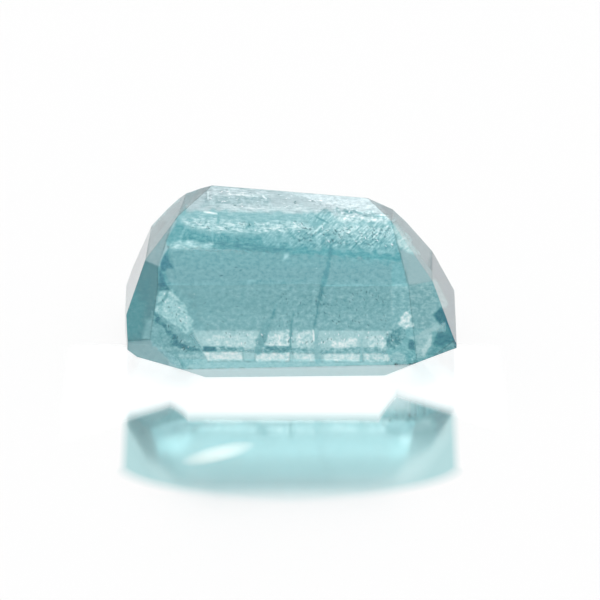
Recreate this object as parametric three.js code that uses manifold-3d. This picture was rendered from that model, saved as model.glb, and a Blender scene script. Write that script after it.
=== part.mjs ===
// Faceted grandidierite: an oblong step cut with cut corners, resting face down
// on its table with the keel uppermost. Millimetres, +Z up. The long sides are
// near (-Y) and far (+Y), the ends are left (-X) and right (+X).
//
// It is cut the way a lapidary cuts it: a rough block is ground flat by flat.
// A flat is given by the side it faces (bearing, degrees anticlockwise from the
// near side), its slope from the horizontal, and the height at which it starts.

import * as THREE from 'three';
import { mergeVertices } from 'three/addons/utils/BufferGeometryUtils.js';
import Module from 'manifold-3d';

// The girdle is the thin upright band round the widest part.
const girdleTop = 0.87;
const girdleBottom = 0.76;

// The rough block that the flats are ground from, larger than the stone.
const rough = { length: 11, width: 9, height: 6 };

// Each side, from the girdle outwards. `reach` is how far the girdle lies from
// the stone's axis. `pavilion` lists the flats that rise from the girdle to the
// keel: the first starts at the girdle, each later one at its own height, where
// it takes over from the flat below. `crown` runs down from the girdle to the
// table, and leaves the girdle at its own reach where the band is uneven.
const sides = {
  near: {
    bearing: -0.8,
    reach: 3.32,
    pavilion: [{ slope: 50.4 }, { bearing: 0, slope: 42.8, start: 2.67 }, { bearing: 0, slope: 41.1, start: 3.83 }],
    crown: { bearing: 1.5, slope: 35.6, reach: 3.475 },
  },
  far: {
    bearing: 176,
    reach: 3.53,
    pavilion: [{ slope: 47.5 }, { slope: 46.8, start: 2.6 }, { bearing: 172, slope: 41, start: 3.5 }],
    crown: { slope: 23.5 },
  },
  left: {
    bearing: -89.5,
    reach: 4.49,
    pavilion: [
      { bearing: -92.8, slope: 70, reach: 4.6 },
      { bearing: -92.4, slope: 49.4, start: 2.92 },
      { bearing: -86.6, slope: 33.5, start: 3.95 },
    ],
    crown: { bearing: -90.5, slope: 32.3, reach: 4.36 },
  },
  right: {
    bearing: 90,
    reach: 4.5,
    pavilion: [{ slope: 67.1 }, { bearing: 90.6, slope: 51.8, start: 2.37 }, { bearing: 93, slope: 36.7, start: 3.76 }],
    crown: { slope: 40 },
  },
  nearLeft: {
    bearing: -85.9,
    reach: 4.56,
    pavilion: [{ bearing: -46.7, slope: 55.4, reach: 5.045 }, { bearing: -45, slope: 43.1, start: 2.72 }],
    crown: { bearing: -35.9, slope: 28.8, reach: 4.73 },
  },
  nearRight: {
    bearing: 50.4,
    reach: 4.88,
    pavilion: [{ bearing: 43, slope: 55.1, reach: 4.79 }, { bearing: 44.8, slope: 44.6, start: 2.59 }],
    crown: { bearing: 44.4, slope: 30.9, reach: 4.74 },
  },
  farLeft: {
    bearing: -135,
    reach: 4.63,
    pavilion: [{ slope: 56.1, reach: 4.95 }, { slope: 46, start: 3.47 }],
    crown: { slope: 40 },
  },
  farRight: {
    bearing: 135,
    reach: 4.38,
    pavilion: [{ bearing: 134, slope: 56 }, { slope: 46, start: 3.16 }],
    crown: { slope: 40 },
  },
};

// The near left corner has two flats more: a short upright one that rounds the
// girdle, and a wide undercut one that leans outwards as it rises.
const roundedCorner = { bearing: -68, reach: 4.99 };
const undercutCorner = { bearing: -31.8, slope: 76.3, reach: 4.35 };

const surface = { color: 0x83b7bd, roughness: 0.04, metalness: 0 };

const wasm = await Module();
wasm.setup();

// A manifold solid from a three.js geometry: positions only, corners merged.
function toSolid(geometry) {
  const bare = geometry.clone();
  bare.deleteAttribute('normal');
  bare.deleteAttribute('uv');
  const merged = mergeVertices(bare, 1e-6);
  return new wasm.Manifold(
    new wasm.Mesh({
      numProp: 3,
      vertProperties: new Float32Array(merged.attributes.position.array),
      triVerts: new Uint32Array(merged.index.array),
    }),
  );
}

function toGeometry(solid) {
  const mesh = solid.getMesh();
  const geometry = new THREE.BufferGeometry();
  geometry.setAttribute('position', new THREE.BufferAttribute(new Float32Array(mesh.vertProperties), 3));
  geometry.setIndex(new THREE.BufferAttribute(new Uint32Array(mesh.triVerts), 1));
  return geometry;
}

// The outward direction of a flat. `rise` is +1 for a flat that looks up, as on
// the pavilion, and -1 for one that looks down, as on the crown.
function facing(bearing, slope, rise) {
  const turn = THREE.MathUtils.degToRad(bearing);
  const tilt = THREE.MathUtils.degToRad(slope);
  return new THREE.Vector3(
    Math.sin(turn) * Math.sin(tilt),
    -Math.cos(turn) * Math.sin(tilt),
    rise * Math.cos(tilt),
  );
}

// Grinds one flat: takes away everything beyond the plane through `point`.
function grind(stone, normal, point) {
  const size = 2 * Math.hypot(rough.length, rough.width, rough.height);
  const lap = new THREE.BoxGeometry(size, size, size);
  lap.translate(0, 0, size / 2);
  lap.applyQuaternion(new THREE.Quaternion().setFromUnitVectors(new THREE.Vector3(0, 0, 1), normal));
  lap.translate(point.x, point.y, point.z);
  return stone.subtract(toSolid(lap));
}

// The point at `reach` from the axis on the given bearing, at a height.
function pointOn(bearing, reach, height) {
  const turn = THREE.MathUtils.degToRad(bearing);
  return new THREE.Vector3(Math.sin(turn) * reach, -Math.cos(turn) * reach, height);
}

function cutSide(stone, side) {
  stone = grind(stone, facing(side.bearing, 90, 1), pointOn(side.bearing, side.reach, 0));

  let reach = side.pavilion[0].reach ?? side.reach;
  let height = girdleTop;
  for (const [tier, flat] of side.pavilion.entries()) {
    if (tier > 0) {
      const below = THREE.MathUtils.degToRad(side.pavilion[tier - 1].slope);
      reach -= (flat.start - height) / Math.tan(below);
      height = flat.start;
    }
    const bearing = flat.bearing ?? side.bearing;
    stone = grind(stone, facing(bearing, flat.slope, 1), pointOn(bearing, reach, height));
  }

  const { crown } = side;
  const bearing = crown.bearing ?? side.bearing;
  return grind(stone, facing(bearing, crown.slope, -1), pointOn(bearing, crown.reach ?? side.reach, girdleBottom));
}

function cutStone() {
  const block = new THREE.BoxGeometry(rough.length, rough.width, rough.height);
  block.translate(0, 0, rough.height / 2);
  let stone = toSolid(block);
  for (const side of Object.values(sides)) stone = cutSide(stone, side);

  const { bearing, reach } = roundedCorner;
  stone = grind(stone, facing(bearing, 90, 1), pointOn(bearing, reach, 0));
  const corner = undercutCorner;
  stone = grind(
    stone,
    facing(corner.bearing, corner.slope, -1),
    pointOn(corner.bearing, corner.reach, girdleBottom),
  );
  return stone;
}

const geometry = toGeometry(cutStone());

// The stone stands centred over the origin, its table on the ground.
geometry.computeBoundingBox();
const middle = geometry.boundingBox.getCenter(new THREE.Vector3());
geometry.translate(-middle.x, -middle.y, 0);

const gemstone = new THREE.Mesh(geometry, new THREE.MeshStandardMaterial(surface));
gemstone.name = 'gemstone';

const part = new THREE.Group();
part.name = 'grandidierite_gemstone';
part.add(gemstone);

export default part;
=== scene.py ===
import bpy, bmesh, math
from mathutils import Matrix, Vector, noise


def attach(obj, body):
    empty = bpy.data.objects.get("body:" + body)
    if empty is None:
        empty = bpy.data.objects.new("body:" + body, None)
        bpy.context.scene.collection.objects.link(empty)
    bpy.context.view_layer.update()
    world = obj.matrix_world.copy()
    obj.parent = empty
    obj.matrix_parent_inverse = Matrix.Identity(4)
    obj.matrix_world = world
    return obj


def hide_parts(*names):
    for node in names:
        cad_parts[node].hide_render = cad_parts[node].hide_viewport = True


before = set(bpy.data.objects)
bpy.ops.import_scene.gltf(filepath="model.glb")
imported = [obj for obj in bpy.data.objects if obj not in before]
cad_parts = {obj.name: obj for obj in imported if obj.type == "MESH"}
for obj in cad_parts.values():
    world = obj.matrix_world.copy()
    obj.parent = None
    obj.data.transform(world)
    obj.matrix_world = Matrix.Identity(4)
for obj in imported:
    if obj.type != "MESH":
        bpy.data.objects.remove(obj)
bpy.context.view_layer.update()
scene = bpy.context.scene
mm = 0.001

viewSettings = {
    "elevation": 22.0,                # degrees above the floor
    "target": (0.269, 0.0, 1.181),    # mm
    "distance": 245.5,                # mm
    "lens": 540.0,
    "sensor": 36.0,
    "clip": (0.005, 10),              # m
    "frame": 600,                     # px each way, for the places of what lies inside
}
rise = math.radians(viewSettings["elevation"])
ahead = Vector((0, math.cos(rise), -math.sin(rise)))
above = Vector((0, math.sin(rise), math.cos(rise)))
eye = Vector(viewSettings["target"]) - ahead * viewSettings["distance"]


def makeCamera(p):
    data = bpy.data.cameras.new("camera")
    data.lens = p["lens"]
    data.sensor_width = p["sensor"]
    data.clip_start, data.clip_end = p["clip"]
    camera = bpy.data.objects.new("camera", data)
    camera.location = eye * mm
    camera.rotation_mode = "QUATERNION"
    camera.rotation_quaternion = ahead.to_track_quat("-Z", "Y")
    scene.collection.objects.link(camera)
    scene.camera = camera


makeCamera(viewSettings)
print("camera placed")


class Num:
    # a number socket; sums written with it become Math nodes
    def __init__(self, tree, socket):
        self.tree, self.socket = tree, socket

    def join(self, operation, a, b=0.0):
        node = self.tree.add("ShaderNodeMath", {"operation": operation}, {0: a, 1: b})
        return Num(self.tree, node.outputs[0])

    def __add__(self, other):
        return self.join("ADD", self, other)

    def __radd__(self, other):
        return self.join("ADD", other, self)

    def __sub__(self, other):
        return self.join("SUBTRACT", self, other)

    def __rsub__(self, other):
        return self.join("SUBTRACT", other, self)

    def __mul__(self, other):
        return self.join("MULTIPLY", self, other)

    def __rmul__(self, other):
        return self.join("MULTIPLY", other, self)

    def __truediv__(self, other):
        return self.join("DIVIDE", self, other)

    def __rtruediv__(self, other):
        return self.join("DIVIDE", other, self)

    def __pow__(self, other):
        return self.join("POWER", self, other)

    # the size without its sign
    def size(self):
        return self.join("ABSOLUTE", self)

    def clamp(self, low=0.0, high=1.0):
        node = self.tree.add("ShaderNodeClamp", {}, {0: self, 1: low, 2: high})
        return Num(self.tree, node.outputs[0])


class Tree:
    def __init__(self, tree):
        self.tree = tree
        tree.nodes.clear()

    # kind of node, its settings first, then what goes into its sockets
    def add(self, kind, settings=None, inputs=None):
        node = self.tree.nodes.new(kind)
        for key, value in (settings or {}).items():
            if key == "stops":
                self.setStops(node.color_ramp, value)
            else:
                setattr(node, key, value)
        for key, value in (inputs or {}).items():
            value = getattr(value, "socket", value)
            if isinstance(value, bpy.types.NodeSocket):
                self.tree.links.new(value, node.inputs[key])
            else:
                node.inputs[key].default_value = value
        return node

    def setStops(self, ramp, stops):
        while len(ramp.elements) < len(stops):
            ramp.elements.new(0.5)
        for element, (place, color) in zip(ramp.elements, stops):
            element.position, element.color = place, color

    def num(self, node, output=0):
        return Num(self, node.outputs[output])


def newMaterial(name):
    material = bpy.data.materials.new(name)
    material.use_nodes = True
    return material, Tree(material.node_tree)


def newMesh(name, bm, material):
    mesh = bpy.data.meshes.new(name)
    bm.to_mesh(mesh)
    bm.free()
    piece = bpy.data.objects.new(name, mesh)
    scene.collection.objects.link(piece)
    mesh.materials.append(material)
    return piece


crystalLook = {
    "ior": 1.61,
    "roughness": 0.012,
    "absorb": (0.133, 0.550, 0.587, 1.0),
    "density": 300.0,
    "wear": 0.0015,       # mm, width of the worn strip along each edge
    "weld": 1e-4,         # mm between corners that are one
    "oneFlat": 0.2,       # degrees between the triangles of one flat
    "leastTurn": 0.8,     # degrees between two flats with a worn edge
    "leastEdge": 0.03,    # mm, the shortest edge that is worn
    "touch": 1e-6,        # mm, how near a cut a corner counts as on it
}


def crystalMaterial(p):
    material, t = newMaterial("crystalGlass")
    look = {
        "Base Color": (1, 1, 1, 1),
        "Roughness": p["roughness"],
        "IOR": p["ior"],
        "Transmission Weight": 1.0,
    }
    glass = t.add("ShaderNodeBsdfPrincipled", {}, look)
    body = t.add("ShaderNodeVolumeAbsorption", {}, {"Color": p["absorb"], "Density": p["density"]})
    t.add("ShaderNodeOutputMaterial", {}, {"Surface": glass.outputs[0], "Volume": body.outputs[0]})
    return material


# a cut for each edge to wear: a place on it and the way it faces
def edgeCuts(bm, p):
    cuts = []
    for edge in bm.edges:
        if len(edge.link_faces) != 2:
            continue
        a, b = (face.normal.copy() for face in edge.link_faces)
        turn = a.angle(b)
        if turn < math.radians(p["leastTurn"]) or edge.calc_length() < p["leastEdge"]:
            continue
        out = (a + b).normalized()
        depth = p["wear"] / 2 * math.tan(turn / 2)
        cuts.append((edge.verts[0].co.copy() - out * depth, out))
    return cuts


def wornCrystal(source, p, material):
    bm = bmesh.new()
    bm.from_mesh(source.data)
    bmesh.ops.scale(bm, vec=(1 / mm, 1 / mm, 1 / mm), verts=bm.verts)
    bmesh.ops.remove_doubles(bm, verts=bm.verts, dist=p["weld"])
    oneFlat = math.radians(p["oneFlat"])
    bmesh.ops.dissolve_limit(bm, angle_limit=oneFlat, verts=bm.verts, edges=bm.edges, delimit=set())
    for point, out in edgeCuts(bm, p):
        plane = {"dist": p["touch"], "plane_co": point, "plane_no": out, "clear_outer": True}
        cut = bmesh.ops.bisect_plane(bm, geom=bm.verts[:] + bm.edges[:] + bm.faces[:], **plane)
        rim = [e for e in cut["geom_cut"] if isinstance(e, bmesh.types.BMEdge) and len(e.link_faces) == 1]
        if rim:
            bmesh.ops.contextual_create(bm, geom=rim)
    gaps = [edge for edge in bm.edges if len(edge.link_faces) != 2]
    print("crystal", len(bm.faces), "flats,", len(gaps), "open edges")
    bmesh.ops.recalc_face_normals(bm, faces=bm.faces)
    bmesh.ops.scale(bm, vec=(mm, mm, mm), verts=bm.verts)
    return newMesh("crystal", bm, material)


solid = [o for o in scene.objects if o.type == "MESH" and "gemstone" in o.name][0]
crystal = wornCrystal(solid, crystalLook, crystalMaterial(crystalLook))
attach(crystal, "root")
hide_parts("gemstone")

inside = {
    "leastFlat": 0.02,      # mm2, the smallest flat that counts
    "pixel": 0.0272,        # mm to a px
    "skin": 0.003,          # mm, the least depth of anything inside
    "normalDigits": 5,
    "reachDigits": 4,
}
veryFar = 1e9


def flatOf(polygon):
    # rounded, so that the last digit can't change what follows
    normal = Vector([round(n, inside["normalDigits"]) for n in polygon.normal]).normalized()
    return normal, round(polygon.center.dot(normal) / mm, inside["reachDigits"])


flats = [flatOf(polygon) for polygon in crystal.data.polygons if polygon.area > inside["leastFlat"] * mm * mm]


def sightLine(x, y):
    middle = viewSettings["frame"] / 2
    lens = viewSettings["lens"] / viewSettings["sensor"] * viewSettings["frame"]
    return (ahead * lens + Vector((x - middle, 0, 0)) + above * (middle - y)).normalized()


# the flat that is seen at x, y of the frame
def flatAt(x, y):
    ray = sightLine(x, y)
    best, found = -veryFar, None
    for index, (normal, reach) in enumerate(flats):
        slope = ray.dot(normal)
        if slope < 0:
            away = (reach - eye.dot(normal)) / slope
            if away > best:
                best, found = away, index
    return found


# the place, in mm, that shows at x, y through a flat, at a depth under it
def beneath(x, y, depth, flat):
    ray = sightLine(x, y)
    normal, reach = flats[flat]
    lean = -ray.dot(normal)
    n = 1 / crystalLook["ior"]
    bent = ray * n + normal * (n * lean - math.sqrt(1 - n * n * (1 - lean * lean)))
    return eye - ray * ((reach - eye.dot(normal)) / lean) + bent * depth


def isInside(point):
    return all(point.dot(normal) < reach - inside["skin"] for normal, reach in flats)


# each item with the next one, round to the first
def around(items):
    return zip(items, items[1:] + items[:1])


def within(x, y, outline):
    hit = False
    for (x1, y1), (x2, y2) in around(outline):
        if (y1 > y) != (y2 > y) and x < (x2 - x1) * (y - y1) / (y2 - y1) + x1:
            hit = not hit
    return hit


# how far x, y is from a line, and how far along the line its nearest place is
def toLine(x, y, x1, y1, x2, y2):
    dx, dy = x2 - x1, y2 - y1
    share = max(0.0, min(1.0, ((x - x1) * dx + (y - y1) * dy) / (dx * dx + dy * dy)))
    return math.hypot(x - x1 - share * dx, y - y1 - share * dy), share


# how far a point lies inside a zone: an outline, or a line of (x, y, half width)
def offset(x, y, zone):
    if "outline" in zone:
        outline = zone["outline"]
        away = min(toLine(x, y, *start, *end)[0] for start, end in around(outline))
        return away if within(x, y, outline) else -away
    best = -veryFar
    for (x1, y1, w1), (x2, y2, w2) in zip(zone["line"], zone["line"][1:]):
        away, share = toLine(x, y, x1, y1, x2, y2)
        best = max(best, w1 + (w2 - w1) * share - away)
    return best


# what each point of a veil carries: how far from teal to white it is, how much it hides, how grey it is,
# and how strong its level streaks, slanting scratches and fine grain are
veilLayers = ("tone", "strength", "grey", "flow", "slant", "grain")
veilBasics = {
    "feather": 4.0,      # px, width of the soft rim
    "ragged": 3.0,       # px that the rim wanders
    "tone": 0.5,
    "strength": 0.9,
    "grey": 0.18,
    "flow": 0.0,
    "slant": 0.0,
    "grain": 0.04,
}
veilGround = {
    "box": (122, 183, 460, 380),    # px
    "step": 1.0,                    # px
    "depth": 0.012,                 # mm under the flats
    "wander": 0.17,                 # turns of a ragged rim to a px
    "seedStep": 7.3,
    "widestLine": 7,                # px
    "faintest": 0.01,               # the least strength that is drawn
    "sliver": 1e-8,                 # mm2
}


def newVeil():
    bm = bmesh.new()
    for name in veilLayers:
        bm.verts.layers.float.new(name)
    bm.loops.layers.uv.new("streaks")
    return bm


def newCorner(bm, values):
    vert = bm.verts.new(values[:3])
    for name, value in zip(veilLayers, values[5:]):
        vert[bm.verts.layers.float[name]] = value
    return vert


def veilFace(bm, corners, places):
    face = bm.faces.new(corners)
    for loop, (x, y) in zip(face.loops, places):
        loop[bm.loops.layers.uv["streaks"]].uv = (x * inside["pixel"], -y * inside["pixel"])


# lays one zone over what is already there, with a ragged soft rim
def overlay(points, zone, seed, p):
    shape = zone["outline"] if "outline" in zone else zone["line"]
    margin = zone["feather"] / 2 + zone["ragged"] + (0 if "outline" in zone else p["widestLine"])
    left, right = min(c[0] for c in shape) - margin, max(c[0] for c in shape) + margin
    top, bottom = min(c[1] for c in shape) - margin, max(c[1] for c in shape) + margin
    for (x, y), values in points.items():
        if left < x < right and top < y < bottom:
            spot = Vector((x * p["wander"], y * p["wander"], seed * p["seedStep"]))
            push = noise.noise_vector(spot) * zone["ragged"]
            off = offset(x + push.x, y + push.y, zone)
            fade = max(0.0, min(1.0, off / zone["feather"] + 0.5))
            share = fade * fade * (3 - 2 * fade) * zone["strength"]
            if share > 0:
                total = values["strength"] + share * (1 - values["strength"])
                for name in veilLayers:
                    if name != "strength":
                        values[name] += (zone[name] - values[name]) * share / total
                values["strength"] = total


# cuts a face back to where it stays inside the crystal; a corner is its place, then whatever it carries
def trimmed(corners):
    for normal, reach in flats:
        depths = [reach - inside["skin"] - normal.dot(corner[:3]) for corner in corners]
        kept = []
        for (a, b), (depthA, depthB) in zip(around(corners), around(depths)):
            if depthA >= 0:
                kept.append(a)
            if (depthA >= 0) != (depthB >= 0):
                share = depthA / (depthA - depthB)
                kept.append([p + (q - p) * share for p, q in zip(a, b)])
        corners = kept
    return corners


def veilPoints(zones, p):
    x0, y0, x1, y1 = p["box"]
    step = p["step"]
    points = {}
    for i in range(int((x1 - x0) / step)):
        for j in range(int((y1 - y0) / step)):
            points[x0 + i * step, y0 + j * step] = dict.fromkeys(veilLayers, 0.0)
    for seed, zone in enumerate(zones):
        overlay(points, {**veilBasics, **zone}, seed, p)
    return points


# a shape made in mm becomes a piece of the stone
def stonePiece(name, bm, material):
    bmesh.ops.scale(bm, vec=(mm, mm, mm), verts=bm.verts)
    piece = newMesh(name, bm, material)
    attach(piece, "root")
    print(name, len(piece.data.polygons), "faces")


def veilSheet(name, zones, ground, material):
    points = veilPoints(zones, ground)
    step = ground["step"]
    seen = {place: flatAt(*place) for place in points}
    made = {}
    bm = newVeil()
    for x, y in points:
        places = [(x, y), (x, y + step), (x + step, y + step), (x + step, y)]
        if not all(p in points for p in places):
            continue
        if not any(points[p]["strength"] > ground["faintest"] for p in places):
            continue
        hit = sorted({seen[p] for p in places})
        for flat in hit:
            spots = [beneath(*p, ground["depth"], flat) for p in places]
            corners = [[*spot, *p, *(points[p][n] for n in veilLayers)] for spot, p in zip(spots, places)]
            if len(hit) == 1 and all(isInside(spot) for spot in spots):
                for p, values in zip(places, corners):
                    if p not in made:
                        made[p] = newCorner(bm, values)
                veilFace(bm, [made[p] for p in places], places)
            else:
                cut = trimmed(corners)
                if len(cut) > 2:
                    veilFace(bm, [newCorner(bm, values) for values in cut], [values[3:5] for values in cut])
    slivers = [face for face in bm.faces if face.calc_area() < ground["sliver"]]
    bmesh.ops.delete(bm, geom=slivers, context="FACES")
    stonePiece(name, bm, material)


# each kind of mark has its length and width in mm, and its lean in degrees
veilLook = {
    "roughness": 0.28,
    "streak": {"size": (0.26, 0.05), "lean": -4, "detail": 3.0, "seed": 1.0},
    "scratch": {"size": (0.22, 0.045), "lean": 44.0, "detail": 2.0, "seed": 5.0},
    "fleck": {"size": (0.14, 0.11), "lean": 0, "detail": 4.0, "seed": 9.0},
    "seedSlant": 0.4,      # how far a seed moves a pattern up for each step along
    "crisp": 0.75,         # share of a pattern that its finer layers keep
    "contrast": 9,
    "teal": [
        (0.0, (0.0, 0.165, 0.235, 1)),
        (0.25, (0.058, 0.315, 0.355, 1)),
        (0.5, (0.18, 0.48, 0.515, 1)),
        (0.75, (0.41, 0.70, 0.72, 1)),
        (1.0, (0.87, 0.97, 0.965, 1)),
    ],
    "grey": [
        (0.25, (0.16, 0.27, 0.30, 1)),
        (0.5, (0.34, 0.45, 0.48, 1)),
        (0.75, (0.58, 0.69, 0.72, 1)),
        (1.0, (0.94, 0.97, 0.98, 1)),
    ],
}


# air films and fine crystals, with painted light and shade in some zones: they throw the light back like
# metal
def veilMaterial(name, p):
    material, t = newMaterial(name)
    place = t.add("ShaderNodeUVMap", {"uv_map": "streaks"})
    layers = [t.add("ShaderNodeAttribute", {"attribute_name": n}) for n in veilLayers]
    tone, strength, grey, flow, slant, grain = (t.num(layer, 2) for layer in layers)

    # about even between -2 and 2
    def pattern(mark):
        start = (mark["seed"], mark["seed"] * p["seedSlant"], 0)
        lean = (0, 0, math.radians(-mark["lean"]))
        turned = {"Vector": place.outputs[0], "Rotation": lean, "Location": start}
        turn = t.add("ShaderNodeMapping", {}, turned)
        scale = (1 / mark["size"][0], 1 / mark["size"][1], 1)
        spot = t.add("ShaderNodeMapping", {}, {"Vector": turn.outputs[0], "Scale": scale})
        look = {"Vector": spot.outputs[0], "Scale": 1.0, "Detail": mark["detail"], "Roughness": p["crisp"]}
        return (t.num(t.add("ShaderNodeTexNoise", {"noise_dimensions": "2D"}, look)) - 0.5) * p["contrast"]

    value = tone + pattern(p["streak"]) * flow + pattern(p["scratch"]) * slant + pattern(p["fleck"]) * grain
    teal = t.add("ShaderNodeValToRGB", {"stops": p["teal"]}, {0: value})
    pale = t.add("ShaderNodeValToRGB", {"stops": p["grey"]}, {0: value})
    color = t.add("ShaderNodeMix", {"data_type": "RGBA"}, {0: grey, 6: teal.outputs[0], 7: pale.outputs[0]})
    # they show from outside alone, so that the stone stays clear from behind
    inner = t.num(t.add("ShaderNodeNewGeometry"), "Backfacing")
    seen = strength * (1 - inner)
    look = {"Base Color": color.outputs[2], "Metallic": 1.0, "Roughness": p["roughness"], "Alpha": seen}
    skin = t.add("ShaderNodeBsdfPrincipled", {}, look)
    t.add("ShaderNodeOutputMaterial", {}, {"Surface": skin.outputs[0]})
    return material


veil = veilMaterial("healedVeilAndPaintedLight", veilLook)

# the zones of the veils, in px of the frame; each lies over the ones before it

# pale streaky ground under the keel; its paleness is partly painted sheen, for the light the keel flats catch
keel = [
    {"outline": [(206, 184), (262, 186), (367, 197), (394, 212), (390, 222), (176, 222), (187, 203)],
     "feather": 3, "tone": 0.655, "grey": 0.9, "flow": 0.05, "grain": 0.02},
    {"outline": [(214, 187), (268, 190), (268, 199), (230, 199), (206, 198)],
     "feather": 6, "tone": 0.695, "grey": 0.9, "flow": 0.13, "grain": 0.04, "strength": 0.8},
    {"outline": [(203, 191), (211, 190), (214, 203), (204, 204)],
     "tone": 0.555, "grey": 1.0, "flow": 0.05, "grain": 0.13, "strength": 0.8},
    {"outline": [(212, 196), (268, 196), (272, 206), (200, 207)],
     "feather": 6, "tone": 0.555, "grey": 0.7, "flow": 0.07, "grain": 0.06},
    {"outline": [(216, 205), (300, 205), (322, 209), (318, 215), (226, 213)],
     "feather": 5, "tone": 0.73, "grey": 0.8, "flow": 0.09, "grain": 0.04},
    {"outline": [(304, 193), (368, 197), (386, 210), (318, 210)],
     "feather": 12, "tone": 0.70, "grey": 0.95, "flow": 0.08, "grain": 0.07},
    {"outline": [(322, 209), (350, 209), (390, 214), (386, 218), (350, 216), (322, 213)],
     "feather": 3, "tone": 0.595, "grey": 0.6, "flow": 0.14, "grain": 0.16},
    {"outline": [(172, 210), (230, 211), (302, 213), (322, 219), (300, 224), (172, 224)],
     "feather": 6, "tone": 0.515, "grey": 0.22, "flow": 0.05, "grain": 0.03},
    {"outline": [(318, 215), (390, 216), (392, 226), (352, 227), (318, 222)],
     "feather": 5, "tone": 0.795, "grey": 0.4, "flow": 0.08, "slant": 0.06, "grain": 0.14},
    {"outline": [(304, 212), (330, 212), (338, 224), (308, 226)],
     "feather": 6, "tone": 0.535, "grey": 0.22, "slant": 0.09, "grain": 0.05},
]
# rows of flecks, a deeper band and scratched ground on the second tier
shoulder = [
    {"outline": [(172, 222), (300, 222), (400, 222), (409, 262), (300, 254), (220, 248), (164, 246)],
     "feather": 3, "tone": 0.49, "grey": 0.22, "flow": 0.03, "grain": 0.04},
    {"outline": [(158, 222), (190, 222), (196, 244), (152, 244)],
     "feather": 8, "tone": 0.35, "grey": 0.1, "grain": 0.06},
    {"outline": [(182, 219), (209, 219), (250, 223), (303, 221), (318, 232), (250, 232), (214, 232),
                 (186, 226)],
     "feather": 6, "tone": 0.69, "grey": 0.35, "flow": 0.12, "grain": 0.12},
    {"outline": [(247, 222), (255, 223), (254, 228), (246, 228)],
     "feather": 3, "tone": 0.42, "grey": 0.22, "grain": 0.1, "strength": 0.7},
    {"outline": [(178, 228), (216, 234), (262, 236), (302, 242), (304, 252), (224, 249), (184, 243)],
     "feather": 9, "tone": 0.29, "grey": 0.1, "flow": 0.05, "grain": 0.08},
    {"outline": [(290, 230), (346, 234), (396, 238), (398, 252), (346, 250), (286, 247)],
     "feather": 9, "tone": 0.42, "grey": 0.22, "slant": 0.12, "grain": 0.11},
    {"outline": [(328, 222), (392, 224), (398, 240), (334, 238)],
     "feather": 9, "tone": 0.635, "grey": 0.3, "slant": 0.12, "grain": 0.09},
    {"outline": [(262, 232), (300, 233), (300, 246), (264, 246)],
     "feather": 6, "tone": 0.47, "grey": 0.22, "slant": 0.08, "grain": 0.10, "strength": 0.7},
    {"outline": [(280, 247), (350, 250), (403, 254), (406, 264), (350, 259), (280, 256)],
     "feather": 6, "ragged": 6, "tone": 0.26, "grey": 0.05, "flow": 0.04, "grain": 0.05},
    {"outline": [(186, 239), (216, 241), (290, 249), (290, 255), (216, 247), (186, 243)],
     "feather": 4, "tone": 0.21, "grey": 0.22, "flow": 0.07, "grain": 0.04},
    {"outline": [(166, 251), (172, 243), (190, 240), (212, 243), (210, 248), (190, 249), (174, 252)],
     "feather": 4, "tone": 0.67, "grey": 0.22, "flow": 0.10, "grain": 0.06},
    {"outline": [(395, 224), (401, 228), (411, 248), (400, 247)],
     "feather": 4, "tone": 0.62, "grey": 0.22, "grain": 0.08, "strength": 0.8},
]
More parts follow.
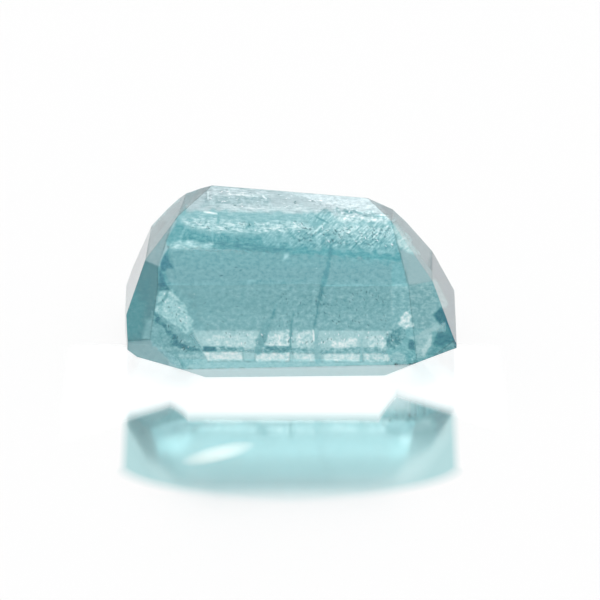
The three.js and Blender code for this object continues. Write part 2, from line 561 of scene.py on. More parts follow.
# the clear window with its haze, grain and stains
window = [
    {"outline": [(156, 249), (300, 254), (408, 262), (412, 331), (156, 331)],
     "feather": 3, "ragged": 1, "tone": 0.40, "grain": 0.05, "strength": 0.72},
    # painted shade and painted light: the upper window darker and a band from 285 to 296 px lighter, for the
    # light the stone passes from different sides
    {"outline": [(156, 249), (300, 254), (402, 262), (406, 284.5), (156, 284.5)],
     "feather": 5, "ragged": 2, "tone": 0.335, "grey": 0.32, "flow": 0.02, "grain": 0.05, "strength": 0.68},
    {"outline": [(170, 284.5), (404, 284.5), (406, 292), (172, 292)],
     "feather": 4, "ragged": 1, "tone": 0.455, "grey": 0.2, "grain": 0.06, "strength": 0.5},
    {"outline": [(168, 287), (404, 287), (406, 296), (170, 296)],
     "feather": 6, "tone": 0.45, "grey": 0.2, "grain": 0.06, "strength": 0.4},
    {"outline": [(166, 268), (404, 268), (404, 284.5), (166, 284.5)],
     "feather": 8, "ragged": 1, "tone": 0.335, "grey": 0.45, "grain": 0.05, "strength": 0.45},
    {"outline": [(392, 264), (402, 264), (406, 284), (392, 284)],
     "feather": 3, "ragged": 1, "tone": 0.38, "grain": 0.05, "strength": 0.9},
    {"outline": [(392, 284), (412, 284), (436, 280), (448, 302), (436, 338), (392, 338)],
     "feather": 3, "ragged": 1, "tone": 0.59, "grey": 0.08, "grain": 0.06, "strength": 0.97},
    {"outline": [(284, 286), (440, 286), (430, 333), (274, 333)],
     "feather": 20, "tone": 0.46, "grain": 0.11, "strength": 0.6},
    {"outline": [(200, 286), (290, 286), (290, 331), (200, 331)],
     "feather": 20, "tone": 0.47, "grain": 0.09, "strength": 0.4},
    {"outline": [(200, 312), (398, 312), (396, 330), (200, 330)],
     "feather": 16, "tone": 0.54, "grain": 0.07, "strength": 0.5},
    {"outline": [(156, 285), (176, 285), (190, 300), (206, 335), (150, 335)],
     "feather": 6, "tone": 0.44, "grain": 0.06, "strength": 0.95},
    {"outline": [(283, 254), (287, 253), (288, 258), (284, 260)],
     "feather": 4, "ragged": 2, "tone": 0.76, "strength": 0.8},
    {"outline": [(245, 284), (249, 280), (254, 281), (250, 285)],
     "feather": 4, "ragged": 2, "tone": 0.62, "strength": 0.6},
    {"outline": [(163, 252), (168, 250), (167, 268), (168, 292), (158, 291), (159, 268)],
     "feather": 5, "tone": 0.26, "grain": 0.09, "strength": 0.8},
    {"outline": [(162, 256), (166, 257), (169, 262), (173, 269), (168, 268), (166, 273), (161, 270)],
     "feather": 3, "ragged": 4, "tone": 0.0, "grain": 0.16, "strength": 0.95},
    {"outline": [(160, 275), (165, 277), (166, 284), (174, 291), (167, 289), (160, 291)],
     "feather": 2.5, "ragged": 4, "tone": 0.03, "grain": 0.16, "strength": 0.95},
    {"outline": [(240, 280), (304, 281), (304, 285), (240, 284)],
     "feather": 4, "tone": 0.30, "grain": 0.08, "strength": 0.35},
]
# bright bands over the near girdle, and a pale sheet of painted light under the crown
girdle = [
    {"outline": [(192, 330.5), (392, 330.5), (390, 349), (202, 349)],
     "feather": 3, "ragged": 1, "tone": 0.705, "grain": 0.05},
    {"outline": [(204, 337), (258, 334), (258, 348), (205, 348)],
     "feather": 6, "tone": 0.785, "grain": 0.08},
    {"outline": [(263, 349), (270, 337), (280, 330), (290, 330), (289, 349)],
     "feather": 5, "tone": 0.825, "grain": 0.15},
    {"outline": [(295, 331), (312, 331), (312, 349), (296, 349)],
     "feather": 5, "tone": 0.785, "grain": 0.13},
    {"outline": [(330, 340), (356, 338), (356, 350), (332, 350)],
     "feather": 6, "tone": 0.885, "grain": 0.12},
    {"outline": [(366, 338), (386, 336), (390, 349), (368, 350)],
     "feather": 6, "tone": 0.805, "grain": 0.13},
    {"outline": [(203, 346.5), (216, 346.5), (218, 351.5), (203, 351.5)],
     "feather": 1.6, "ragged": 0.7, "tone": 0.065, "grain": 0.06, "strength": 1.0},
    {"outline": [(216, 346.5), (244, 346.5), (244, 351.5), (216, 351.5)],
     "feather": 2.5, "ragged": 1.5, "tone": 0.445, "grain": 0.2, "flow": 0.05},
    {"outline": [(264, 346), (291, 345.5), (292, 352.5), (264, 352.5)],
     "feather": 2.5, "ragged": 1.5, "tone": 0.325, "grain": 0.2, "flow": 0.05},
    {"outline": [(292, 347.5), (392, 347.5), (392, 353), (292, 353)],
     "feather": 2.5, "ragged": 1.5, "tone": 0.505, "grain": 0.14, "flow": 0.05},
    {"outline": [(202, 352), (243, 352), (243, 361), (208, 361)],
     "feather": 2.5, "ragged": 0.8, "tone": 0.865, "grain": 0.09},
    {"outline": [(243, 352), (255, 352), (255, 361), (243, 361)],
     "feather": 2.5, "ragged": 0.8, "tone": 0.665, "grain": 0.05},
    {"outline": [(255, 353), (290, 353), (289, 361.5), (256, 361.5)],
     "feather": 2.5, "ragged": 0.8, "tone": 0.865, "grain": 0.09},
    {"outline": [(290, 354), (361, 354), (361, 361.5), (290, 361.5)],
     "feather": 2.5, "ragged": 0.8, "tone": 0.665, "grain": 0.04},
    {"outline": [(294, 354), (318, 354), (318, 361.5), (294, 361.5)],
     "feather": 2.5, "ragged": 0.8, "tone": 0.835, "grain": 0.09},
    {"outline": [(324, 354), (360, 354), (360, 361.5), (324, 361.5)],
     "feather": 2.5, "ragged": 0.8, "tone": 0.855, "grain": 0.09},
    {"outline": [(363, 354), (391, 354), (389, 362), (364, 362)],
     "feather": 2.5, "ragged": 0.8, "tone": 0.815, "grain": 0.12},
    {"outline": [(166, 353), (203, 352), (208, 361.5), (394, 361.5), (394, 367), (184, 369), (170, 366)],
     "feather": 2.5, "ragged": 1, "tone": 0.645, "grain": 0.05},
    # painted light: a pale sheet under the crown that brightens it
    {"outline": [(204, 369.5), (394, 366), (426, 365), (388, 377), (206, 379), (184, 370)],
     "feather": 1.4, "ragged": 0, "tone": 0.80, "grey": 0.4, "grain": 0.01},
]
# grey and dark sheets under the end flats: painted reflection and painted shade of the dim surroundings these
# flats show
ends = [
    {"outline": [(434, 280), (410, 238), (372, 197), (410, 210), (440, 256), (454, 300), (462, 344),
                 (450, 330)],
     "feather": 4, "tone": 0.46, "grey": 1.0, "grain": 0.02, "strength": 0.75},
    {"outline": [(430, 252), (446, 258), (460, 292), (464, 352), (450, 342), (430, 282)],
     "feather": 4, "tone": 0.0, "grey": 0.0, "grain": 0.02, "strength": 1.0},
    {"outline": [(120, 342), (119, 296), (132, 258), (152, 226), (184, 194), (214, 182), (168, 220),
                 (150, 262), (126, 320)],
     "feather": 4, "tone": 0.46, "grey": 1.0, "grain": 0.02, "strength": 0.75},
    {"outline": [(116, 332), (116, 290), (130, 252), (146, 222), (150, 262), (126, 324)],
     "feather": 4, "tone": 0.0, "grey": 0.2, "grain": 0.02, "strength": 1.0},
]
# the mottled corners
corners = [
    {"outline": [(144, 258), (160, 266), (160, 288), (151, 344), (120, 344), (120, 326), (124, 300)],
     "feather": 1.6, "ragged": 0, "tone": 0.24, "grey": 0.3, "grain": 0.025, "strength": 0.95},
    {"outline": [(122, 298), (136, 292), (146, 304), (145, 322), (140, 338), (118, 340)],
     "feather": 14, "tone": 0.30, "grey": 0.0, "grain": 0.035, "strength": 0.95},
    {"outline": [(142, 282), (150, 280), (150, 298), (142, 300)],
     "feather": 8, "tone": 0.21, "grain": 0.03, "strength": 0.8},
    {"outline": [(142, 339), (146, 320), (153, 317), (151, 341)],
     "feather": 5, "ragged": 1.5, "tone": 0.53, "grey": 0.1, "grain": 0.04, "strength": 0.9},
    {"outline": [(124, 342), (150, 340), (170, 355), (176, 368), (184, 371), (136, 362), (122, 352)],
     "feather": 2, "ragged": 0.5, "tone": 0.46, "grey": 0.7, "grain": 0.04, "strength": 0.6},
    {"outline": [(151, 311), (164, 316), (178, 326), (190, 334), (203, 352), (186, 368), (172, 364),
                 (150, 342)],
     "feather": 3, "tone": 0.46, "grain": 0.10},
    {"outline": [(160, 290), (172, 291), (181, 301), (192, 319), (193, 329), (185, 333), (155, 311),
                 (157, 300)],
     "feather": 3, "tone": 0.72, "grey": 0.0, "grain": 0.09},
    {"outline": [(176, 352), (203, 352), (203, 362), (178, 366)],
     "feather": 4, "tone": 0.58, "grain": 0.08},
    {"outline": [(404, 329), (434, 330), (456, 350), (424, 362), (392, 364), (388, 350), (390, 338)],
     "feather": 3, "tone": 0.52, "grey": 0.0, "grain": 0.07, "strength": 0.97},
    {"outline": [(398, 323), (405, 314), (408, 308), (411, 317), (413, 326), (404, 330)],
     "feather": 2.5, "tone": 0.86, "grain": 0.13},
    {"outline": [(385, 338), (392, 330), (406, 329), (407, 338), (396, 348), (388, 347)],
     "feather": 3, "tone": 0.32, "grain": 0.18},
    {"outline": [(408, 343), (412, 339), (416, 344), (416, 350), (409, 349)],
     "feather": 2.5, "ragged": 1.5, "tone": 0.05, "grain": 0.08},
    {"outline": [(410, 337), (434, 325), (442, 327), (420, 340)],
     "feather": 4, "tone": 0.68, "grain": 0.04},
    {"outline": [(144, 260), (160, 267), (163, 258), (168, 249), (166, 241), (177, 221), (172, 216),
                 (156, 236)],
     "feather": 2, "ragged": 0.4, "tone": 0.56, "grey": 0.6, "grain": 0.015, "strength": 0.9},
    {"outline": [(400, 252), (409, 285), (434, 281), (432, 271), (415, 250), (404, 247)],
     "feather": 1.6, "ragged": 0.3, "tone": 0.58, "grey": 0.5, "grain": 0.015, "strength": 0.9},
    {"outline": [(391, 222), (397, 225), (406, 237), (414, 247), (417, 254), (408, 252), (400, 248),
                 (396, 238)],
     "feather": 4, "ragged": 1.5, "tone": 0.80, "grey": 0.0, "slant": 0.05, "grain": 0.07, "strength": 0.97},
    {"outline": [(432, 346), (448, 326), (456, 352), (426, 362)],
     "feather": 6, "tone": 0.33, "grey": 0.0, "grain": 0.10, "strength": 0.97},
    {"outline": [(391, 355), (408, 354), (408, 364), (392, 366)],
     "feather": 4, "tone": 0.62, "grain": 0.07},
    {"outline": [(405, 353), (424, 350), (424, 361), (406, 364)],
     "feather": 5, "tone": 0.45, "grey": 0.0, "grain": 0.14},
    {"outline": [(433, 317), (440, 308), (448, 309), (452, 321), (440, 324)],
     "feather": 4, "tone": 0.06, "grey": 0.0, "grain": 0.06, "strength": 0.98},
    {"outline": [(433, 341), (440, 331), (448, 333), (451, 341), (441, 347), (434, 346)],
     "feather": 5, "tone": 0.12, "grey": 0.0, "grain": 0.07, "strength": 0.98},
    {"outline": [(431, 332), (419, 336), (414, 345), (418, 356), (424, 356), (430, 346)],
     "feather": 3, "ragged": 1.5, "tone": 0.64, "grain": 0.07},
    {"outline": [(432, 333), (422, 349), (423, 357), (431, 345)],
     "feather": 2, "ragged": 1, "tone": 0.80, "grain": 0.04},
]
# healed cracks and bright scratches
cracks = [
    {"line": [(331, 245, 1.2), (329, 262, 1.8), (326, 275, 2.6), (322, 290, 2.2), (318, 306, 1.4),
              (314, 329, 0.8)],
     "feather": 2.5, "ragged": 1.2, "tone": 0.20, "grain": 0.06, "strength": 0.8},
    {"line": [(168.5, 250, 0.6), (163, 260, 1.2), (161, 266, 1.0), (159.5, 285, 0.8)],
     "feather": 1.8, "ragged": 1.0, "tone": 0.06, "grain": 0.08},
    {"line": [(337, 282, 0.6), (334, 296, 1.0), (331, 312, 0.6)],
     "feather": 2, "ragged": 1, "tone": 0.38, "strength": 0.6},
    {"line": [(276, 304, 0.8), (273, 313, 1.6), (270, 320, 2.0), (266, 328, 3.5), (262, 338, 4.6),
              (258, 351, 4.0)],
     "feather": 3, "ragged": 1.5, "tone": 0.40, "grain": 0.07},
    {"line": [(275, 308, 0.6), (272, 318, 1.0)], "feather": 1.6, "ragged": 0.5, "tone": 0.22},
    {"line": [(294, 312, 0.5), (291, 328, 1.0), (290, 347, 1.2)],
     "feather": 1.8, "ragged": 1, "tone": 0.26},
    {"line": [(316, 329, 2.0), (317, 340, 2.8), (318, 361, 3.0)],
     "feather": 2, "ragged": 1, "tone": 0.55, "grain": 0.04},
    {"line": [(313, 330, 0.6), (313.5, 335, 0.9), (314, 341, 0.5)],
     "feather": 1.4, "ragged": 0, "tone": 1.0, "strength": 1.0},
    {"line": [(362, 340, 0.9), (361, 361, 1.2)], "feather": 2, "ragged": 1, "tone": 0.55},
    {"line": [(204, 212, 0.6), (210, 212.6, 1.0), (217, 213.6, 0.6)],
     "feather": 1.4, "ragged": 0, "tone": 1.0, "strength": 1.0},
    {"line": [(326, 222, 0.6), (318, 229, 1.1), (311, 235, 0.6)],
     "feather": 1.6, "ragged": 0.6, "tone": 0.88},
    {"line": [(330, 228, 0.5), (322, 233, 0.9), (316, 237, 0.5)],
     "feather": 1.6, "ragged": 0.6, "tone": 0.84},
    {"line": [(358, 224, 0.5), (352, 229, 0.9), (346, 233, 0.5)],
     "feather": 1.6, "ragged": 0.6, "tone": 0.86},
    {"line": [(316, 217, 0.5), (322, 220, 0.8), (328, 223, 0.5)],
     "feather": 1.6, "ragged": 0.4, "tone": 0.18},
    {"line": [(345, 211.4, 0.5), (351, 212.6, 1.0)], "feather": 1.6, "ragged": 0.6, "tone": 0.26},
    {"line": [(356, 212.6, 0.4), (362, 213.4, 0.7)], "feather": 1.6, "ragged": 0.6, "tone": 0.44},
    {"line": [(373, 215, 0.4), (384, 217, 0.8)], "feather": 1.6, "ragged": 0.8, "tone": 0.34},
    {"line": [(378, 237, 0.5), (377, 246, 0.7)], "feather": 1.4, "ragged": 0.6, "tone": 0.3},
    {"line": [(229, 189.5, 0.5), (229.5, 194, 0.7)],
     "feather": 1.4, "ragged": 0.3, "tone": 0.98, "grey": 0.6},
    {"line": [(236, 194.6, 0.5), (240, 195, 0.7)], "feather": 1.4, "ragged": 0.3, "tone": 1.0, "grey": 0.6},
    {"line": [(243, 195, 0.6), (250, 195.4, 0.6)], "feather": 1.4, "ragged": 0.3, "tone": 1.0, "grey": 0.6},
    {"line": [(253, 195.6, 0.7), (258, 196, 0.5)], "feather": 1.4, "ragged": 0.3, "tone": 1.0, "grey": 0.6},
    {"line": [(263, 196, 0.9), (266, 198.5, 0.6)], "feather": 1.4, "ragged": 0.3, "tone": 1.0, "grey": 0.6},
    {"line": [(208, 192, 0.7), (208, 199, 0.5)], "feather": 1.4, "ragged": 0.3, "tone": 0.98, "grey": 0.6},
    {"line": [(254, 223, 0.5), (246, 228, 0.5)], "feather": 1.2, "ragged": 0.3, "tone": 0.35},
    {"line": [(212, 229, 0.5), (212.6, 236, 0.8), (213, 242, 0.5)],
     "feather": 1.6, "ragged": 0.6, "tone": 0.58, "strength": 0.7},
    {"line": [(185, 228, 0.5), (181, 237, 0.8)], "feather": 1.6, "ragged": 0.8, "tone": 0.56},
    {"line": [(185, 208, 1.4), (184, 214, 1.4)], "feather": 2, "ragged": 0.5, "tone": 0.48},
    {"line": [(219, 214, 0.8), (218, 223, 1.2)], "feather": 2, "ragged": 1, "tone": 0.46},
    {"line": [(169, 289, 0.8), (165, 299, 1.1), (161, 303, 1.1), (155, 306, 0.8)],
     "feather": 2, "ragged": 1, "tone": 0.34},
    {"line": [(177, 302, 0.8), (179, 303, 0.9)], "feather": 2, "ragged": 1, "tone": 0.44},
    {"line": [(180, 310, 0.6), (179, 313, 0.9)], "feather": 2, "ragged": 1.4, "tone": 0.46},
    {"line": [(183, 326, 0.7), (186, 330, 0.9)], "feather": 2, "ragged": 1.4, "tone": 0.44},
    {"line": [(154, 311, 1.2), (158, 320, 2.2), (168, 331, 1.6), (176, 342, 2.8), (186, 348, 1.6),
              (198, 351, 0.8)],
     "feather": 3, "ragged": 2.5, "tone": 0.06, "grain": 0.16, "strength": 0.95},
    {"line": [(170, 336, 1.6), (175, 343, 3.4), (181, 346, 1.6)],
     "feather": 3, "ragged": 2.5, "tone": 0.20, "grain": 0.16, "strength": 0.8},
]
# one sheet for all zones: veils together with the painted light and shade
veilSheet("veilsAndPaintedLight", keel + shoulder + ends + window + girdle + corners + cracks, veilGround, veil)

fleckBasics = {
    "Density": 12.0,        # to the square mm
    "Seed": 1,
    "Smallest": 0.008,      # mm wide
    "Largest": 0.04,        # mm wide
    "Stretch": 4.0,         # length to width
    "Thickness": 0.12,      # thickness to width
    "Lean": 35.0,           # degrees
    "Spread": 35.0,         # degrees either way
    "Depth": 0.001,         # mm that they sink at most
    "Patch Size": 0.3,      # mm
    "Cover": 0.55,          # how much of the ground carries any
}
fleckBias = 1.6    # above 1, most flecks are small
fleckSeeds = {"sink": 11, "lean": 12, "size": 13}


def fleckTree():
    group = bpy.data.node_groups.new("flecks", "GeometryNodeTree")
    kinds = {"Geometry": "NodeSocketGeometry"}
    for name, value in fleckBasics.items():
        kinds[name] = "NodeSocketInt" if isinstance(value, int) else "NodeSocketFloat"
    kinds["Material"] = "NodeSocketMaterial"
    names = {}
    for name, kind in kinds.items():
        names[name] = group.interface.new_socket(name=name, in_out="INPUT", socket_type=kind).identifier
    group.interface.new_socket(name="Geometry", in_out="OUTPUT", socket_type="NodeSocketGeometry")
    t = Tree(group)
    source = t.add("NodeGroupInput").outputs

    def given(name):
        return Num(t, source[name])

    def chance(low, use):
        span = {"Min": low, "Max": 1.0, "Seed": fleckSeeds[use]}
        return t.num(t.add("FunctionNodeRandomValue", {"data_type": "FLOAT"}, span), 1)

    sown = {"Mesh": source["Geometry"], "Density": source["Density"], "Seed": source["Seed"]}
    points = t.add("GeometryNodeDistributePointsOnFaces", {"distribute_method": "RANDOM"}, sown)
    facing = points.outputs["Normal"]
    where = t.add("GeometryNodeInputPosition")
    patches = {"Vector": where.outputs[0], "Scale": 1 / given("Patch Size"), "Detail": 2.0, "Roughness": 0.6}
    clumps = t.add("ShaderNodeTexNoise", {}, patches)
    greater = {"data_type": "FLOAT", "operation": "GREATER_THAN"}
    bare = t.add("FunctionNodeCompare", greater, {0: clumps.outputs[0], 1: source["Cover"]})
    spare = {"Geometry": points.outputs["Points"], "Selection": bare.outputs[0]}
    kept = t.add("GeometryNodeDeleteGeometry", {"domain": "POINT"}, spare)
    sink = chance(0.0, "sink") * given("Depth") * -1.0
    drop = t.add("ShaderNodeVectorMath", {"operation": "SCALE"}, {0: facing, "Scale": sink})
    sunk = t.add("GeometryNodeSetPosition", {}, {"Geometry": kept.outputs[0], "Offset": drop.outputs[0]})
    along = {"primary_axis": "Z", "secondary_axis": "X"}
    axes = t.add("FunctionNodeAxesToRotation", along, {0: facing, 1: (1.0, 0.0, 0.0)})
    angle = given("Lean") + chance(-1.0, "lean") * given("Spread")
    euler = t.add("ShaderNodeCombineXYZ", {}, {"Z": angle * math.radians(1)})
    turn = t.add("FunctionNodeEulerToRotation", {}, {0: euler.outputs[0]})
    both = {0: axes.outputs[0], 1: turn.outputs[0]}
    turned = t.add("FunctionNodeRotateRotation", {"rotation_space": "LOCAL"}, both)
    size = given("Smallest") + (given("Largest") - given("Smallest")) * chance(0.0, "size") ** fleckBias
    sizes = {"X": size * given("Stretch"), "Y": size, "Z": size * given("Thickness")}
    scale = t.add("ShaderNodeCombineXYZ", {}, sizes)
    grain = t.add("GeometryNodeMeshIcoSphere", {}, {"Radius": 0.5, "Subdivisions": 1})
    copies = {
        "Points": sunk.outputs[0],
        "Instance": grain.outputs[0],
        "Rotation": turned.outputs[0],
        "Scale": scale.outputs[0],
    }
    placed = t.add("GeometryNodeInstanceOnPoints", {}, copies)
    real = t.add("GeometryNodeRealizeInstances", {}, {0: placed.outputs[0]})
    dress = {"Geometry": real.outputs[0], "Material": source["Material"]}
    dressed = t.add("GeometryNodeSetMaterial", {}, dress)
    t.add("NodeGroupOutput", {}, {0: dressed.outputs[0]})
    return group, names


fleckGroup, fleckSockets = fleckTree()


# a patch of ground for flecks
def patch(outline, depth):
    bm = bmesh.new()
    spots = [beneath(x, y, depth, flatAt(x, y)) for x, y in outline]
    bm.faces.new([bm.verts.new(spot) for spot in spots])
    mesh = bpy.data.meshes.new("ground")
    bm.to_mesh(mesh)
    bm.free()
    return mesh


def fleckMesh(ground, values, material):
    holder = bpy.data.objects.new("ground", ground)
    scene.collection.objects.link(holder)
    modifier = holder.modifiers.new("flecks", "NODES")
    modifier.node_group = fleckGroup
    for name, value in values.items():
        modifier[fleckSockets[name]] = value
    modifier[fleckSockets["Material"]] = material
    made = bpy.data.meshes.new_from_object(holder.evaluated_get(bpy.context.evaluated_depsgraph_get()))
    bpy.data.objects.remove(holder)
    bpy.data.meshes.remove(ground)
    return made


fleckLook = {
    "dark": (0.03, 0.17, 0.20, 1),
    "pale": (0.92, 1.0, 1.0, 1),
    "roughness": 0.3,
    "mottle": 9000.0,    # to the m
    "shades": [(0.3, (0.6, 0.75, 0.8, 1)), (0.7, (1.2, 1.05, 1.05, 1))],
}


def fleckMaterial(name, color, p):
    material, t = newMaterial(name)
    where = t.add("ShaderNodeTexCoord")
    mottle = {"Vector": where.outputs["Object"], "Scale": p["mottle"], "Detail": 2.0}
    spots = t.add("ShaderNodeTexNoise", {}, mottle)
    shade = t.add("ShaderNodeValToRGB", {"stops": p["shades"]}, {0: spots.outputs[0]})
    mix = {"data_type": "RGBA", "blend_type": "MULTIPLY"}
    tint = t.add("ShaderNodeMix", mix, {0: 1.0, 6: color, 7: shade.outputs[0]})
    look = {"Base Color": tint.outputs[2], "Metallic": 1.0, "Roughness": p["roughness"]}
    skin = t.add("ShaderNodeBsdfPrincipled", {}, look)
    t.add("ShaderNodeOutputMaterial", {}, {"Surface": skin.outputs[0]})
    return material


# ground, dark and pale flecks to the square mm, widest fleck in mm, lean in degrees
fleckGrounds = [
    ([(186, 221), (300, 221), (316, 232), (190, 230)], 40.0, 25.0, 0.026, 20.0),
    ([(300, 223), (390, 226), (394, 247), (290, 241)], 150.0, 45.0, 0.026, 38.0),
    ([(220, 234), (296, 234), (296, 244), (226, 242)], 40.0, 2.0, 0.025, 20.0),
    ([(304, 196), (362, 200), (384, 216), (318, 212)], 12.0, 60.0, 0.03, 0.0),
    ([(214, 190), (300, 195), (300, 208), (206, 206)], 12.0, 60.0, 0.025, 0.0),
    ([(180, 262), (396, 268), (396, 281), (180, 281)], 4.0, 0.5, 0.032, 0.0),
    ([(280, 290), (388, 290), (388, 327), (276, 327)], 45.0, 0.5, 0.024, 60.0),
    ([(190, 290), (280, 290), (276, 327), (206, 327)], 10.0, 0.5, 0.024, 0.0),
    ([(206, 332), (388, 332), (388, 344), (206, 344)], 30.0, 70.0, 0.025, 80.0),
    ([(164, 293), (172, 293), (188, 318), (190, 326), (160, 310)], 50.0, 40.0, 0.028, 50.0),
    ([(386, 334), (400, 333), (400, 345), (388, 345)], 140.0, 8.0, 0.03, 60.0),
    ([(154, 318), (166, 322), (196, 348), (184, 354)], 60.0, 3.0, 0.03, -50.0),
]
fleckDepth = 0.008    # mm under the flats


def flecks(name, material, kind, seed):
    bm = bmesh.new()
    for index, (outline, dark, pale, widest, lean) in enumerate(fleckGrounds):
        density = {"dark": dark, "pale": pale}[kind]
        values = {"Density": density, "Seed": seed + index, "Largest": widest, "Lean": lean}
        made = fleckMesh(patch(outline, fleckDepth), {**fleckBasics, **values}, material)
        bm.from_mesh(made)
        bpy.data.meshes.remove(made)
    stonePiece(name, bm, material)


flecks("darkFlecks", fleckMaterial("darkFleck", fleckLook["dark"], fleckLook), "dark", 0)
flecks("paleFlecks", fleckMaterial("paleFleck", fleckLook["pale"], fleckLook), "pale", 40)

floorLook = {
    "gap": 0.02,           # mm of air under the table
    "half": 3.0,           # m
    "color": 0.95,
    "roughness": 0.12,
    "metal": 0.90,
    "glow": 0.05,
    "farOff": 9,           # mm, past the end of every shape below
    # painted light: a matte glowing patch at the stone's foot that hides its shadow and its mirror image
    "paintedFootGlow": {              # matte and bright at the stone's foot, in mm
        "middle": -0.17,
        "half": 2.8,
        "reach": 5.4,
        "start": 0.4,
        "rim": 0.5,
        "edge": 0.9,
        "sideReach": 3.5,
        "slope": 0.85,
        "leftMore": 0.7,
        "far": 5.2,
        "farRim": 1.6,
        "shade": 0.6,
        "glow": 0.75,
    },
    # painted reflection and painted light: the floor tinted teal and glowing where the stone's mirror image
    # and thrown light lie
    "paintedReflectionPool": {              # tinted by the stone in front of it, in mm
        "half": 4.4,
        "shoulder": 8.8,
        "round": 0.7,
        "soften": 0.9,
        "far": 7.75,
        "deep": 3.05,
        "rim": 1.2,
        "sideRim": 0.25,
        "turn": 4.5,
        "taper": 0.27,
        "fade": 1.2,
        "near": 6.5,
        "end": 9.8,
        "tint": (0.62, 0.82, 0.83),
        "sideTint": (0.40, 0.68, 0.70),
        "glow": (0.13, 0.21, 0.21),
    },
    # painted light: a glowing spot on the floor for light thrown through the stone
    "paintedCaustic": {             # light thrown through the stone, in mm
        "x": -1.9,
        "y": 7.89,
        "lean": 0.6,
        "long": 1.0,
        "wide": 0.62,
        "glow": (0.38, 0.26, 0.22),
    },
}


# from 0 to 1 where an amount passes a limit, over a soft rim
def past(amount, limit, rim):
    return ((amount - limit) / rim + 0.5).clamp()


# how much of the painted glow at the stone's foot a place has
def paintedFootGlowShare(across, forward, p):
    side = (across - p["middle"]).size()
    sideReach = p["sideReach"] + (side - p["half"]) * p["slope"] + (0.5 - across).clamp() * p["leftMore"]
    reach = p["reach"] + (sideReach - p["reach"]) * past(side, p["half"], p["rim"])
    near = past(reach, forward, p["edge"]) * past(forward, p["start"], p["rim"])
    return near * past(p["far"], side, p["farRim"])


# how much of the painted reflection pool a place has, and how far it is to the side of it
def paintedReflectionPoolShares(across, forward, p, farOff):
    rounded = (forward - p["shoulder"]).clamp(0, farOff)
    wide = across.size() - p["half"] + rounded * rounded * p["round"]
    beyond = wide / (rounded * p["soften"] + p["sideRim"])
    along = ((forward - p["far"]).size() - p["deep"]) / p["rim"]
    mirrored = p["half"] - (forward - p["turn"]).clamp(0, farOff) * p["taper"]
    return (0.5 - beyond).clamp() * (0.5 - along).clamp(), past(across.size(), mirrored, p["fade"])


# how much of the painted glowing spot a place has
def paintedCausticShare(across, forward, p):
    x = across - p["x"]
    y = forward - p["y"] + x * p["lean"]
    return (1 - (x * x) / p["long"] ** 2 - (y * y) / p["wide"] ** 2).clamp()


def floorMaterial(p):
    material, t = newMaterial("paleFloor")
    where = t.add("ShaderNodeTexCoord")
    axes = t.add("ShaderNodeSeparateXYZ", {}, {0: where.outputs["Object"]})
    across = t.num(axes, 0) * (1 / mm)
    forward = t.num(axes, 1) * (-1 / mm)
    paintedReflectionPool, paintedCaustic = p["paintedReflectionPool"], p["paintedCaustic"]
    paintedFootGlow = paintedFootGlowShare(across, forward, p["paintedFootGlow"])
    inPaintedPool, outside = paintedReflectionPoolShares(across, forward, paintedReflectionPool, p["farOff"])
    paintedCausticLevel = paintedCausticShare(across, forward, paintedCaustic)
    # the painted glow of the pool, for light thrown through the stone, is strongest halfway out
    out = ((forward - paintedReflectionPool["near"]) / (paintedReflectionPool["end"] - paintedReflectionPool["near"])).clamp()
    paintedThrownLight = inPaintedPool * out * (1 - out) * 4 * (1 - outside)
    # painted light at the foot: the base colour dims there and the glow rises, so no shadow shows
    share = (1 - paintedFootGlow * p["paintedFootGlow"]["shade"]) * p["color"]
    # painted reflection: the floor's colour tinted teal over the pool
    tints = [a + (b - a) * outside for a, b in zip(paintedReflectionPool["tint"], paintedReflectionPool["sideTint"])]
    shades = [share * (1 - inPaintedPool * (1 - tint)) for tint in tints]
    base = t.add("ShaderNodeCombineColor", {}, dict(enumerate(shades)))
    level = paintedFootGlow * (p["paintedFootGlow"]["glow"] - p["glow"]) + p["glow"]
    glows = [level + paintedThrownLight * a + paintedCausticLevel * b for a, b in zip(paintedReflectionPool["glow"], paintedCaustic["glow"])]
    glow = t.add("ShaderNodeCombineColor", {}, dict(enumerate(glows)))
    look = {
        "Base Color": base.outputs[0],
        "Roughness": p["roughness"],
        "Metallic": (1 - paintedFootGlow) * p["metal"],
        "Emission Color": glow.outputs[0],
        "Emission Strength": 1.0,
    }
    skin = t.add("ShaderNodeBsdfPrincipled", {}, look)
    t.add("ShaderNodeOutputMaterial", {}, {"Surface": skin.outputs[0]})
    return material


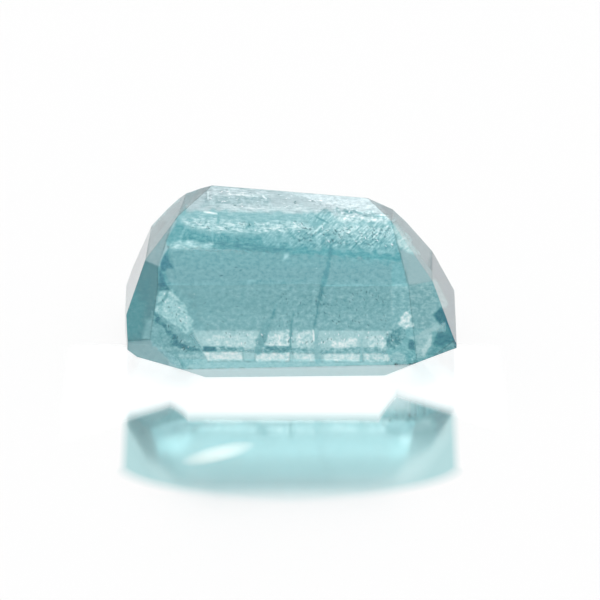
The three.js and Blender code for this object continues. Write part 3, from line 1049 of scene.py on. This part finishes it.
def makeFloor(p):
    bm = bmesh.new()
    half = p["half"]
    low = -p["gap"] * mm
    corners = ((-half, -half, low), (half, -half, low), (half, half, low), (-half, half, low))
    bm.faces.new([bm.verts.new(corner) for corner in corners])
    floor = newMesh("floor", bm, floorMaterial(p))


makeFloor(floorLook)
print("floor laid")

softbox = {
    "place": (0.065, 0.02, 0.30),    # m
    "aim": (0, 0, 0.002),            # m
    "size": (0.18, 0.20),            # m
    "radiance": 1.5,
}


def areaLight(name, p):
    data = bpy.data.lights.new(name, "AREA")
    data.shape = "RECTANGLE"
    data.size, data.size_y = p["size"]
    data.energy = p["radiance"] * math.pi * p["size"][0] * p["size"][1]
    light = bpy.data.objects.new(name, data)
    light.location = p["place"]
    light.rotation_mode = "QUATERNION"
    light.rotation_quaternion = (Vector(p["aim"]) - Vector(p["place"])).to_track_quat("-Z", "Y")
    scene.collection.objects.link(light)


areaLight("overheadSoftbox", softbox)
print("softbox hung")

# the walls of the studio, a little darker in front
walls = {"front": 0.90, "back": 0.98, "frontEnd": -0.1, "backEnd": 0.6}


def makeWalls(p):
    world = bpy.data.worlds.new("studio")
    world.use_nodes = True
    scene.world = world
    t = Tree(world.node_tree)
    where = t.add("ShaderNodeTexCoord")
    axes = t.add("ShaderNodeSeparateXYZ", {}, {0: where.outputs["Generated"]})
    span = {0: axes.outputs["Y"], 1: p["frontEnd"], 2: p["backEnd"], 3: p["front"], 4: p["back"]}
    level = t.add("ShaderNodeMapRange", {"interpolation_type": "SMOOTHSTEP"}, span)
    light = t.add("ShaderNodeBackground", {}, {0: (1, 1, 1, 1), 1: level.outputs[0]})
    t.add("ShaderNodeOutputWorld", {}, {0: light.outputs[0]})


makeWalls(walls)
print("walls lit")

lightPaths = {
    "max_bounces": 32,
    "transmission_bounces": 32,
    "glossy_bounces": 32,
    "diffuse_bounces": 6,
    "transparent_max_bounces": 32,
    "blur_glossy": 0.0,
    "sample_clamp_indirect": 6.0,
}
scene.view_settings.view_transform = "Standard"
for name, value in lightPaths.items():
    setattr(scene.cycles, name, value)
print("light paths set")
